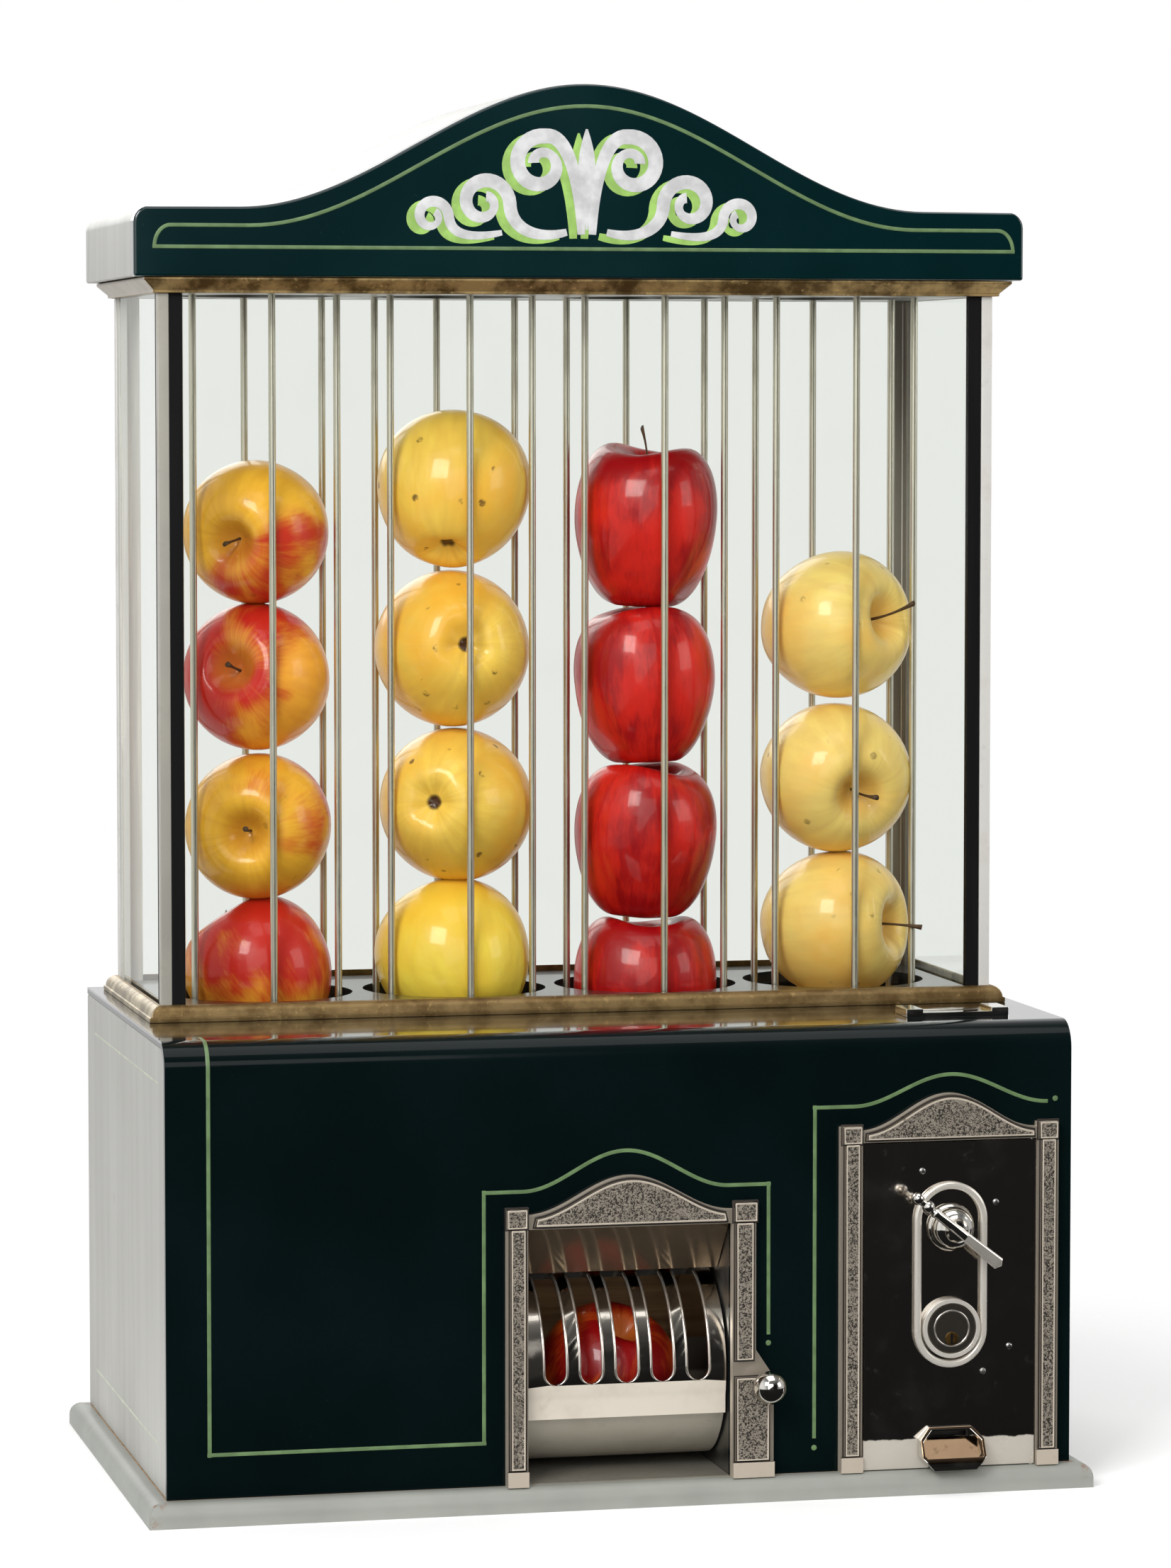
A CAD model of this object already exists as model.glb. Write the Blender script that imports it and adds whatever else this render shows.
"""Dresses a counter vending machine: finishes, apples, pinstripes, small fittings, light and camera."""

import logging
import math
from dataclasses import dataclass
from enum import Enum
from typing import Callable, Iterable, Sequence

import bmesh
import bpy
from mathutils import Matrix, Vector


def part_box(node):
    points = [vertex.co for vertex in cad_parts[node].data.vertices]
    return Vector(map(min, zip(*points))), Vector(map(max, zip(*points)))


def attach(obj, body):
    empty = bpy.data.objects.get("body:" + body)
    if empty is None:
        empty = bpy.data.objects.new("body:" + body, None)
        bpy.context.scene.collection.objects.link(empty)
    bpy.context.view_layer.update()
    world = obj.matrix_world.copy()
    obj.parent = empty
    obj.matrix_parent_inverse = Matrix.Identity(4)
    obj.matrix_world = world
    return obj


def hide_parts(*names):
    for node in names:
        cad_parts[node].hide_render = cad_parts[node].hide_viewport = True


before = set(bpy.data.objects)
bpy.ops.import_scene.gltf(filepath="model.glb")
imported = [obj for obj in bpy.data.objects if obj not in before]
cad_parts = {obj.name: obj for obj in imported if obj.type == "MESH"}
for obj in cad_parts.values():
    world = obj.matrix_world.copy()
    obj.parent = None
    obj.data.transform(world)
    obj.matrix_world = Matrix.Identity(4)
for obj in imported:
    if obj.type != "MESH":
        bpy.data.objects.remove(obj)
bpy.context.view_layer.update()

LOG = logging.getLogger("vending_machine")
MM = 0.001
WELD = 2e-6  # points of a CAD mesh closer than this, in metres, are one
FLAT_DEGREES = 0.5  # triangles that meet at less make one flat face
SHARP_DEGREES = 32  # edges sharper than this are eased
Colour = tuple[float, float, float]
Point = tuple[float, float, float]


def srgb(red: int, green: int, blue: int) -> Colour:
    """Turns a display colour into a linear one.

    Args:
        red: Red, 0 to 255.
        green: Green, 0 to 255.
        blue: Blue, 0 to 255.

    Returns:
        The linear colour.
    """
    def lin(v: int) -> float:
        """One channel."""
        c = v / 255
        return c / 12.92 if c <= 0.04045 else ((c + 0.055) / 1.055) ** 2.4
    return lin(red), lin(green), lin(blue)


class Value:
    """A number that changes over a surface: a socket with arithmetic."""

    def __init__(self, tree: "Tree", socket: bpy.types.NodeSocket) -> None:
        """Keeps the tree and the socket."""
        self.tree = tree
        self.socket = socket

    def _math(self, operation: str, first: object, second: object) -> "Value":
        """Adds a Math node for first and second."""
        made = self.tree.node("ShaderNodeMath", {"operation": operation}, {0: first, 1: second})
        return Value(self.tree, made.outputs[0])

    def __add__(self, other: object) -> "Value":
        """self + other."""
        return self._math("ADD", self, other)

    __radd__ = __add__

    def __sub__(self, other: object) -> "Value":
        """self - other."""
        return self._math("SUBTRACT", self, other)

    def __rsub__(self, other: object) -> "Value":
        """other - self."""
        return self._math("SUBTRACT", other, self)

    def __mul__(self, other: object) -> "Value":
        """self * other."""
        return self._math("MULTIPLY", self, other)

    __rmul__ = __mul__

    def __abs__(self) -> "Value":
        """Size of self."""
        return self._math("ABSOLUTE", self, 0.0)

    def most(self, other: object) -> "Value":
        """The larger of the two."""
        return self._math("MAXIMUM", self, other)

    def step(self, low: float, high: float) -> "Value":
        """Smooth step from 0 at low to 1 at high; low may lie above high."""
        made = self.tree.node(
            "ShaderNodeMapRange", {"interpolation_type": "SMOOTHSTEP"},
            {"Value": self, "From Min": low, "From Max": high})
        return Value(self.tree, made.outputs[0])


def new_node(tree: bpy.types.NodeTree, kind: str, settings: dict[str, object] | None,
             inputs: dict[object, object] | None) -> bpy.types.Node:
    """Adds a node to a tree.

    Args:
        tree: The shader's or geometry's tree.
        kind: The node's type.
        settings: Its own settings, which are set first.
        inputs: Plain values, sockets or Values by input name or number.

    Returns:
        The node.
    """
    made = tree.nodes.new(kind)
    for key, value in (settings or {}).items():
        setattr(made, key, value)
    for key, value in (inputs or {}).items():
        target = made.inputs[key]
        given = value.socket if isinstance(value, Value) else value
        if isinstance(given, bpy.types.NodeSocket):
            tree.links.new(given, target)
        elif target.type == "RGBA" and len(given) == 3:
            target.default_value = (*given, 1.0)
        else:
            target.default_value = given
    return made


class Tree:
    """A material's or world's node tree with short ways to add nodes."""

    def __init__(self, owner: bpy.types.Material | bpy.types.World, output: str = "ShaderNodeOutputMaterial") -> None:
        """Empties the owner's tree and adds its output."""
        owner.use_nodes = True
        self.tree = owner.node_tree
        self.tree.nodes.clear()
        self.output = self.tree.nodes.new(output)

    def node(self, kind: str, settings: dict[str, object] | None = None,
             inputs: dict[object, object] | None = None) -> bpy.types.Node:
        """Adds a node, as new_node does."""
        return new_node(self.tree, kind, settings, inputs)

    def show(self, shader: bpy.types.Node) -> None:
        """Joins a shader to the output."""
        self.tree.links.new(shader.outputs[0], self.output.inputs[0])

    def place(self, scale: Point = (1, 1, 1), attribute: str | None = None) -> bpy.types.NodeSocket:
        """Object coordinates, or a stored attribute, stretched by scale."""
        if attribute:
            source = self.node("ShaderNodeAttribute", {"attribute_name": attribute}).outputs["Vector"]
        else:
            source = self.node("ShaderNodeTexCoord").outputs["Object"]
        return self.node("ShaderNodeMapping", None, {"Vector": source, "Scale": scale}).outputs[0]

    def axes(self, vector: bpy.types.NodeSocket) -> tuple[Value, Value, Value]:
        """The three parts of a vector."""
        parts = self.node("ShaderNodeSeparateXYZ", None, {0: vector}).outputs
        return Value(self, parts[0]), Value(self, parts[1]), Value(self, parts[2])

    def noise(self, vector: bpy.types.NodeSocket, scale: float, detail: float = 3, rough: float = 0.55) -> Value:
        """Cloudy noise from 0 to 1."""
        made = self.node("ShaderNodeTexNoise", None,
                         {"Vector": vector, "Scale": scale, "Detail": detail, "Roughness": rough})
        return Value(self, made.outputs[0])

    def cells(self, vector: bpy.types.NodeSocket, scale: float) -> Value:
        """Distance to the middle of a cell."""
        return Value(self, self.node("ShaderNodeTexVoronoi", None, {"Vector": vector, "Scale": scale}).outputs[0])

    def mix(self, share: object, first: object, second: object) -> bpy.types.NodeSocket:
        """Blends two colours.

        Args:
            share: How much of the second.
            first: A colour or socket.
            second: A colour or socket.

        Returns:
            The colour's socket.
        """
        made = self.node("ShaderNodeMix", {"data_type": "RGBA"}, {0: share, 6: first, 7: second})
        return made.outputs[2]

    def bump(self, height: Value, depth: float, strength: float = 1.0) -> bpy.types.NodeSocket:
        """Turns a height into a normal; depth is in metres."""
        return self.node("ShaderNodeBump", None,
                         {"Strength": strength, "Distance": depth, "Height": height}).outputs[0]

    def surface(self, **inputs: object) -> None:
        """Adds the main shader and joins it to the output; a double underscore stands for a space."""
        named = {key.replace("__", " "): value for key, value in inputs.items()}
        self.show(self.node("ShaderNodeBsdfPrincipled", None, named))


@dataclass(frozen=True)
class Finish:
    """A surface finish; its material is made once and shared."""
    name: str
    colour: Colour

    def material(self) -> bpy.types.Material:
        """The finish's material, made when it is first asked for."""
        name = f"{self.name}_finish"
        known = bpy.data.materials.get(name)
        if known:
            return known
        made = bpy.data.materials.new(name)
        self.paint(Tree(made))
        return made

    def paint(self, tree: Tree) -> None:
        """Builds the nodes.

        Args:
            tree: The empty tree to fill.
        """
        raise NotImplementedError

    def shade(self, amount: float) -> Colour:
        """The finish's colour made darker or lighter by a factor."""
        return tuple(min(c * amount, 1.0) for c in self.colour)


@dataclass(frozen=True)
class Enamel(Finish):
    """Deep gloss enamel with a faint ripple, specks of dust and rubbed patches.

    Below the height thin_below, in metres, the clear coat has worn thin.
    """
    gloss: float = 0.12
    sheen: float = 0.5
    thin_below: float = 0.0

    def paint(self, tree: Tree) -> None:
        """Builds the nodes."""
        place = tree.place()
        ripple = tree.noise(place, 90, 2)
        cloud = tree.noise(place, 9, 4)
        dust = tree.cells(place, 420).step(0.10, 0.03) * tree.noise(place, 35, 2).step(0.56, 0.68)
        tone = tree.mix(cloud.step(0.3, 0.75), self.shade(0.8), self.shade(1.25))
        tone = tree.mix(dust * 0.35, tone, self.shade(8))
        rough = self.gloss + cloud.step(0.45, 0.8) * 0.08 + dust * 0.25
        coat: object = 0.5
        if self.thin_below:
            _, _, height = tree.axes(place)
            coat = 0.08 + height.step(self.thin_below - 0.0015, self.thin_below - 0.0002) * 0.7
        tree.surface(Base__Color=tone, Roughness=rough, Coat__Weight=coat, Coat__Roughness=0.04,
                     Specular__IOR__Level=self.sheen, Normal=tree.bump(ripple, 0.00006, 0.35))


@dataclass(frozen=True)
class BoardPaint(Finish):
    """Satin paint on board, with faint upright streaks, grime low down and small knocks."""
    grime: Colour = srgb(120, 116, 104)

    def paint(self, tree: Tree) -> None:
        """Builds the nodes."""
        place = tree.place()
        streak = tree.noise(tree.place((60, 60, 2.2)), 1.6, 4)
        cloud = tree.noise(place, 14, 4)
        grain = tree.noise(tree.place((700, 700, 90)), 1, 2)
        _, _, height = tree.axes(place)
        low = height.step(0.07, 0.012) * cloud.step(0.3, 0.7)
        knock = tree.cells(place, 38).step(0.13, 0.09) * tree.noise(place, 21, 2).step(0.63, 0.7)
        tone = tree.mix(streak.step(0.3, 0.75), self.shade(0.92), self.shade(1.05))
        tone = tree.mix((low * 0.35 + knock * 0.55), tone, self.grime)
        tree.surface(Base__Color=tone, Roughness=0.34 + cloud * 0.2,
                     Normal=tree.bump(grain + streak * 0.6 - knock * 2.0, 0.00008, 0.5))


@dataclass(frozen=True)
class MouldingPaint(Finish):
    """Painted wood moulding, chipped to red-brown wood near the mitres and along its top edge."""
    wood: Colour = srgb(128, 82, 56)
    corner: Point = (0.2, 0.118, 0)

    def paint(self, tree: Tree) -> None:
        """Builds the nodes."""
        place = tree.place()
        across, along, height = tree.axes(place)
        fine = tree.noise(place, 190, 4)
        broad = tree.noise(place, 24, 3)
        near = (abs(across) - abs(along) - (self.corner[0] - self.corner[1]))
        mitre = abs(near).step(0.006, 0.0) * fine.step(0.5, 0.62)
        nick = tree.noise(place, 75, 3).step(0.68, 0.74) * height.step(0.006, 0.0095)
        chip = mitre.most(nick)
        line = tree.noise(tree.place((8, 8, 900)), 1, 2)
        tone = tree.mix(broad.step(0.25, 0.8), self.shade(0.88), self.shade(1.08))
        tone = tree.mix(chip, tone, self.wood)
        tree.surface(Base__Color=tone, Roughness=0.36 + fine * 0.15 + chip * 0.3,
                     Normal=tree.bump(line * 0.5 + fine * 0.4 - chip * 2.0, 0.00012, 0.5))


@dataclass(frozen=True)
class Gilt(Finish):
    """Aged gilt moulding, darker in the hollows, with rubbed high spots."""
    dark: Colour = srgb(100, 78, 44)

    def paint(self, tree: Tree) -> None:
        """Builds the nodes."""
        place = tree.place()
        patch = tree.noise(place, 60, 5, 0.65)
        fleck = tree.noise(place, 420, 3)
        tone = tree.mix(patch.step(0.36, 0.62), self.dark, self.colour)
        tone = tree.mix(fleck.step(0.6, 0.72) * 0.5, tone, self.shade(1.7))
        tree.surface(Base__Color=tone, Metallic=0.75, Roughness=0.3 + patch * 0.25,
                     Normal=tree.bump(fleck, 0.0001, 0.4))


@dataclass(frozen=True)
class StippledMetal(Finish):
    """Cast metal with a stippled face: bright grains in darker pits."""
    pit: Colour = srgb(46, 41, 35)
    grain: float = 1700
    metal: float = 0.2

    def paint(self, tree: Tree) -> None:
        """Builds the nodes."""
        place = tree.place()
        dots = tree.cells(place, self.grain)
        clumps = tree.noise(place, 0.6 * self.grain, 3)
        high = (clumps - dots * 0.55).step(0.05, 0.4)
        stain = tree.noise(place, 70, 3)
        tone = tree.mix(high, self.pit, self.colour)
        tone = tree.mix(stain.step(0.5, 0.8) * 0.4, tone, self.shade(0.55))
        tree.surface(Base__Color=tone, Metallic=self.metal, Roughness=0.42 - high * 0.17,
                     Normal=tree.bump(high, 0.00015, 0.6))


@dataclass(frozen=True)
class PlateMetal(Finish):
    """Plated or polished metal with smears, fine scratches and a little tarnish.

    Up to the height worn_to, in metres, the plating has worn to a pale foot with a wavy edge.
    """
    rough: float = 0.06
    smear: float = 0.12
    tarnish: Colour = srgb(120, 104, 84)
    tarnish_share: float = 0.25
    brush: Point = (40, 40, 40)
    metal: float = 1.0
    worn_to: float = 0.0
    worn: Colour = srgb(199, 192, 180)

    def paint(self, tree: Tree) -> None:
        """Builds the nodes."""
        place = tree.place()
        smears = tree.noise(place, 38, 4, 0.6)
        line = tree.noise(tree.place(self.brush), 30, 2)
        spot = tree.noise(place, 130, 4).step(0.6, 0.75)
        tone = tree.mix(smears.step(0.45, 0.8) * self.tarnish_share, self.colour, self.tarnish)
        tone = tree.mix(spot * self.tarnish_share, tone, self.shade(0.45))
        rough = self.rough + smears.step(0.4, 0.75) * self.smear + spot * 0.15
        metal: object = self.metal
        if self.worn_to:
            _, _, height = tree.axes(place)
            wave = tree.noise(tree.place((70, 70, 0)), 1, 3)
            foot = (height + (wave - 0.5) * 0.006).step(self.worn_to + 0.0004, self.worn_to - 0.0004)
            tone = tree.mix(foot, tone, self.worn)
            metal = self.metal - foot * 0.7
            rough = rough + foot * 0.25
        tree.surface(Base__Color=tone, Metallic=metal, Roughness=rough,
                     Normal=tree.bump(line + smears * 0.4, 0.00003, 0.3))


@dataclass(frozen=True)
class PaneGlass(Finish):
    """Thin tinted glass: clear where it is looked at squarely, and a mirror at a slant, with a film of dust."""
    bend: float = 1.32
    mirror: float = 0.75

    def paint(self, tree: Tree) -> None:
        """Builds the nodes."""
        dust = tree.noise(tree.place(), 26, 4).step(0.5, 0.85)
        through = tree.node("ShaderNodeBsdfTransparent", None, {"Color": self.colour})
        shine = tree.node("ShaderNodeBsdfGlossy", None, {"Color": (0.95, 0.97, 0.96), "Roughness": 0.03})
        edge = Value(tree, tree.node("ShaderNodeFresnel", None, {"IOR": self.bend}).outputs[0])
        inside = Value(tree, tree.node("ShaderNodeNewGeometry").outputs["Backfacing"])
        both = tree.node("ShaderNodeMixShader", None,
                         {0: edge * (1.0 - inside) * self.mirror + dust * 0.012,
                          1: through.outputs[0], 2: shine.outputs[0]})
        tree.show(both)


@dataclass(frozen=True)
class Rubber(Finish):
    """Dull glazing strip with a dusty bloom."""

    def paint(self, tree: Tree) -> None:
        """Builds the nodes."""
        bloom = tree.noise(tree.place((300, 300, 12)), 1, 3)
        tone = tree.mix(bloom.step(0.45, 0.8), self.colour, self.shade(1.6))
        tree.surface(Base__Color=tone, Roughness=0.45 + bloom * 0.25, Specular__IOR__Level=0.15,
                     Normal=tree.bump(bloom, 0.0001, 0.3))


@dataclass(frozen=True)
class BareWood(Finish):
    """Plain softwood board with long grain."""
    dark: Colour = srgb(150, 108, 66)

    def paint(self, tree: Tree) -> None:
        """Builds the nodes."""
        grain = tree.noise(tree.place((2.5, 60, 60)), 3, 5, 0.6)
        pores = tree.noise(tree.place((40, 900, 900)), 1, 2)
        tone = tree.mix(grain.step(0.35, 0.7), self.colour, self.dark)
        tree.surface(Base__Color=tone, Roughness=0.55 + pores * 0.2, Normal=tree.bump(grain + pores * 0.4, 0.0002, 0.5))


@dataclass(frozen=True)
class SignPaint(Finish):
    """Hand-laid sign paint, a little uneven in strength."""
    gloss: float = 0.3

    def paint(self, tree: Tree) -> None:
        """Builds the nodes."""
        place = tree.place()
        stroke = tree.noise(place, 120, 3)
        tone = tree.mix(stroke.step(0.35, 0.7), self.shade(0.82), self.shade(1.12))
        tree.surface(Base__Color=tone, Roughness=self.gloss + stroke * 0.15, Normal=tree.bump(stroke, 0.00005, 0.4))


# Attributes that each apple stores at its points
SKIN = "skin"
MARKS = "marks"
STREAKS = "streaks"
SUN = "sun"


@dataclass(frozen=True)
class AppleSkin(Finish):
    """Waxy apple skin: a ground colour, a blush on one side broken into streaks, and pale specks.

    It is drawn in the apple's own directions, stem along +Z, from stored attributes: the place on the apple,
    the same moved by a different step for each apple, a place that hardly changes from stem to eye, and how
    far a point looks at the side that the sun reached.
    """
    blush: Colour = srgb(190, 40, 24)
    blush_from: float = 0.75
    blush_to: float = 0.35
    streak: float = 0.35
    lean: float = 0.3
    bruise: float = 0.2
    hollow: Colour = srgb(150, 120, 40)
    speck: float = 0.25

    def paint(self, tree: Tree) -> None:
        """Builds the nodes."""
        marks = tree.place(attribute=MARKS)
        broad = tree.noise(marks, 0.9, 2)
        lines = tree.noise(tree.place(attribute=STREAKS), 6, 3)
        thin = tree.noise(tree.place(attribute=STREAKS), 22, 2)
        side, deep, up = tree.axes(tree.place(attribute=SKIN))
        core = side * side + deep * deep
        sunny, _, _ = tree.axes(tree.place(attribute=SUN))
        flush = broad + sunny * self.lean + (lines - 0.5) * self.streak + (thin - 0.5) * 0.6 * self.streak
        dots = tree.cells(marks, 15).step(0.10, 0.05) * self.speck
        stem_end = core.step(0.16, 0.01) * up.step(0.0, 0.2)
        eye = core.step(0.014, 0.004) * up.step(0.0, -0.2)
        mark = tree.cells(marks, 2.6).step(0.16, 0.10) * tree.noise(marks, 6, 3).step(0.45, 0.6) * self.bruise
        tone = tree.mix(lines.step(0.3, 0.75), self.shade(0.9), self.shade(1.08))
        tone = tree.mix(flush.step(self.blush_to, self.blush_from), tone, self.blush)
        tone = tree.mix(stem_end * 0.7, tone, self.hollow)
        tone = tree.mix(dots, tone, self.shade(1.3))
        tone = tree.mix(mark.most(eye), tone, srgb(74, 44, 20))
        dimple = tree.noise(marks, 4, 2)
        tree.surface(Base__Color=tone, Roughness=0.3 + thin * 0.1 + mark * 0.3, Specular__IOR__Level=0.3,
                     Coat__Weight=0.4, Coat__Roughness=0.08, Normal=tree.bump(dimple + thin * 0.06, 0.0006, 0.5))


@dataclass(frozen=True)
class StemBark(Finish):
    """Dry brown stem."""

    def paint(self, tree: Tree) -> None:
        """Builds the nodes."""
        ridge = tree.noise(tree.place(), 900, 3)
        tone = tree.mix(ridge, self.shade(0.5), self.shade(1.3))
        tree.surface(Base__Color=tone, Roughness=0.6 + ridge * 0.2, Normal=tree.bump(ridge, 0.0003, 0.6))


class Finishes:
    """Every finish on the machine, by what it covers."""
    GREEN = Enamel("sign_green", srgb(2, 29, 31))
    FRONT_GREEN = Enamel("front_green", srgb(5, 15, 16), sheen=0.12, thin_below=0.205)
    GREY = BoardPaint("grey_board_paint", srgb(174, 173, 167))
    BASE = MouldingPaint("base_moulding_paint", srgb(142, 144, 137))
    GILT = Gilt("aged_gilt", srgb(134, 111, 72))
    GILT_BRIGHT = Gilt("bright_gilt", srgb(196, 166, 112))
    GILT_SIDE = BoardPaint("pale_moulding_side", srgb(206, 197, 183))
    FOOT_SIDE = Gilt("gilt_side", srgb(190, 178, 152), dark=srgb(128, 114, 90))
    STIPPLE = StippledMetal("stippled_nickel", srgb(146, 137, 124))
    FRAME_EDGE = PlateMetal("frame_nickel", srgb(206, 194, 177), rough=0.3, smear=0.2, metal=0.4)
    CHROME = PlateMetal("polished_chrome", srgb(222, 219, 212))
    MIRROR = PlateMetal("mirror_plate", srgb(206, 200, 192), rough=0.015, smear=0.15, tarnish_share=0.25,
                        worn_to=0.024)
    HOOD = PlateMetal("hood_plate", srgb(142, 124, 102), rough=0.1, metal=0.8)
    SCOOP = PlateMetal("scoop_plate", srgb(124, 102, 80), rough=0.1)
    DRUM = PlateMetal("drum_plate", srgb(186, 180, 170), rough=0.1, smear=0.12, brush=(4, 60, 60))
    BAR = PlateMetal("barrel_plate", srgb(222, 213, 198), rough=0.3, smear=0.18, brush=(4, 60, 60), metal=0.25)
    DRUM_LOW = PlateMetal("drum_underside", srgb(172, 166, 152), rough=0.3, smear=0.18, brush=(4, 60, 60), metal=0.25)
    TRAY = PlateMetal("tray_plate", srgb(146, 142, 132), rough=0.35, smear=0.18, brush=(4, 60, 60), metal=0.5)
    POST = PlateMetal("post_nickel", srgb(176, 173, 163), rough=0.34, smear=0.2, brush=(60, 60, 2), metal=0.5)
    POST_PALE = PlateMetal("post_pale", srgb(214, 212, 206), rough=0.36, smear=0.2, brush=(60, 60, 2), metal=0.25)
    STRIP_GREY = Rubber("glazing_grey", srgb(132, 128, 120))
    STRIP_PALE = Rubber("glazing_pale", srgb(196, 196, 190))
    ROD = PlateMetal("rod_nickel", srgb(212, 208, 192), rough=0.34, smear=0.16, tarnish_share=0.12, brush=(60, 60, 4))
    STEEL = PlateMetal("plain_steel", srgb(164, 163, 160), rough=0.3, smear=0.25, brush=(60, 4, 60))
    GROOVE = PlateMetal("groove_tarnish", srgb(46, 40, 34), rough=0.5, smear=0.2, metal=0.2)
    RECESS = PlateMetal("frame_recess", srgb(136, 127, 114), rough=0.4, smear=0.2, metal=0.4)
    LEVER = PlateMetal("lever_plate", srgb(224, 218, 208), rough=0.1, smear=0.1, metal=0.75)
    BEZEL = PlateMetal("bezel_plate", srgb(230, 224, 214), rough=0.2, smear=0.1, metal=0.55)
    RIM = PlateMetal("slot_rim", srgb(224, 216, 206), rough=0.12, smear=0.1, metal=0.85)
    LOCK_FACE = PlateMetal("lock_face", srgb(112, 107, 99), rough=0.14, smear=0.12, metal=0.9)
    BRASS = PlateMetal("lock_brass", srgb(196, 152, 88), rough=0.2, smear=0.2)
    GLASS = PaneGlass("pane_glass", (0.95, 0.957, 0.945))
    RUBBER = Rubber("glazing_black", srgb(9, 9, 10))
    FLOOR = Enamel("case_floor_black", srgb(30, 31, 30), gloss=0.3)
    PINE = BareWood("pine_board", srgb(196, 156, 106))
    LIME = SignPaint("lime_line", srgb(93, 119, 77))
    FAINT = SignPaint("faint_line", srgb(184, 190, 168))
    LIME_SHADE = SignPaint("lime_shade", srgb(146, 186, 92))
    SILVER = SignPaint("silver_leaf", srgb(196, 196, 196), gloss=0.22)
    STEM = StemBark("apple_stem", srgb(86, 62, 36))
    RUSSET = AppleSkin("apple_russet", srgb(255, 187, 56), blush=srgb(204, 50, 26), blush_from=0.85, blush_to=0.55,
                       streak=0.22, lean=0.34, hollow=srgb(208, 140, 42), bruise=0.3)
    RUSSET_RED = AppleSkin("apple_russet_red", srgb(255, 172, 56), blush=srgb(202, 38, 26), blush_from=0.66,
                           blush_to=0.38, streak=0.24, lean=0.26, hollow=srgb(214, 132, 48), bruise=0.15)
    GOLDEN = AppleSkin("apple_golden", srgb(255, 208, 88), blush=srgb(248, 184, 60), blush_from=0.75, blush_to=0.4,
                       streak=0.2, hollow=srgb(222, 166, 54), bruise=0.8, speck=0.08)
    LEMON = AppleSkin("apple_lemon", srgb(255, 220, 80), blush=srgb(250, 202, 62), blush_from=0.75, blush_to=0.4,
                      streak=0.2, hollow=srgb(206, 150, 44), bruise=0.4, speck=0.08)
    WAITING = AppleSkin("apple_waiting", srgb(232, 96, 28), blush=srgb(150, 10, 14), blush_from=0.6, blush_to=0.36,
                        streak=0.3, hollow=srgb(190, 110, 40), bruise=0.1)
    CRIMSON = AppleSkin("apple_crimson", srgb(216, 34, 22), blush=srgb(160, 6, 14), blush_from=0.62, blush_to=0.36,
                        streak=0.4, hollow=srgb(140, 20, 16), bruise=0.0, speck=0.14)
    PALE = AppleSkin("apple_pale", srgb(255, 219, 124), blush=srgb(253, 196, 94), blush_from=0.8, blush_to=0.4,
                     streak=0.2, hollow=srgb(234, 174, 76), bruise=0.5, speck=0.06)


def linked(name: str, data: bpy.types.ID) -> bpy.types.Object:
    """Puts a mesh, lamp or camera into the scene as an object at the origin."""
    made = bpy.data.objects.new(name, data)
    bpy.context.scene.collection.objects.link(made)
    return made


def new_mesh(name: str, verts: Sequence[Sequence[float]], faces: Sequence[Sequence[int]]) -> bpy.types.Object:
    """Makes a mesh object in the scene.

    Args:
        name: The piece's name.
        verts: Corner points in metres.
        faces: Corner numbers of each face.

    Returns:
        The object, at the origin.
    """
    mesh = bpy.data.meshes.new(name)
    mesh.from_pydata([tuple(v) for v in verts], [], [tuple(f) for f in faces])
    return linked(name, mesh)


def apply_modifiers(piece: bpy.types.Object) -> None:
    """Turns a piece's live modifiers into plain mesh."""
    ready = piece.evaluated_get(bpy.context.evaluated_depsgraph_get())
    mesh = bpy.data.meshes.new_from_object(ready)
    piece.modifiers.clear()
    old = piece.data
    piece.data = mesh
    bpy.data.meshes.remove(old)


def smooth(piece: bpy.types.Object, degrees: float = 35) -> None:
    """Shades a piece smooth, with sharp edges where faces meet at more than the angle."""
    mesh = piece.data
    shape = bmesh.new()
    shape.from_mesh(mesh)
    limit = math.radians(degrees)
    for face in shape.faces:
        face.smooth = True
    for edge in shape.edges:
        edge.smooth = len(edge.link_faces) == 2 and edge.calc_face_angle(0.0) < limit
    shape.to_mesh(mesh)
    shape.free()


def dress(piece: bpy.types.Object, finish: Finish, body: str, slot: str, *stands_for: str) -> bpy.types.Object:
    """Gives a finished piece its material, body, slot and the CAD nodes that it stands for.

    Args:
        piece: The piece, with its place in its mesh.
        finish: Its finish, used where the mesh has no materials yet.
        body: The CAD body that it rides on.
        slot: The record's material slot.
        stands_for: CAD nodes that it replaces.

    Returns:
        The same piece.
    """
    if not piece.data.materials:
        piece.data.materials.append(finish.material())
    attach(piece, body)
    if stands_for:
        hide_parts(*stands_for)
    LOG.info("%s rides on %s with %d faces", piece.name, body, len(piece.data.polygons))
    return piece


def scaled(points: Iterable[Sequence[float]]) -> list[tuple[float, ...]]:
    """Millimetres to metres."""
    return [tuple(c * MM for c in p) for p in points]


def arc(radius: float, angles: Iterable[int]) -> list[tuple[float, float]]:
    """Points of a circle round the origin at angles in degrees from +X."""
    return [(radius * math.cos(math.radians(a)), radius * math.sin(math.radians(a))) for a in angles]


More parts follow.
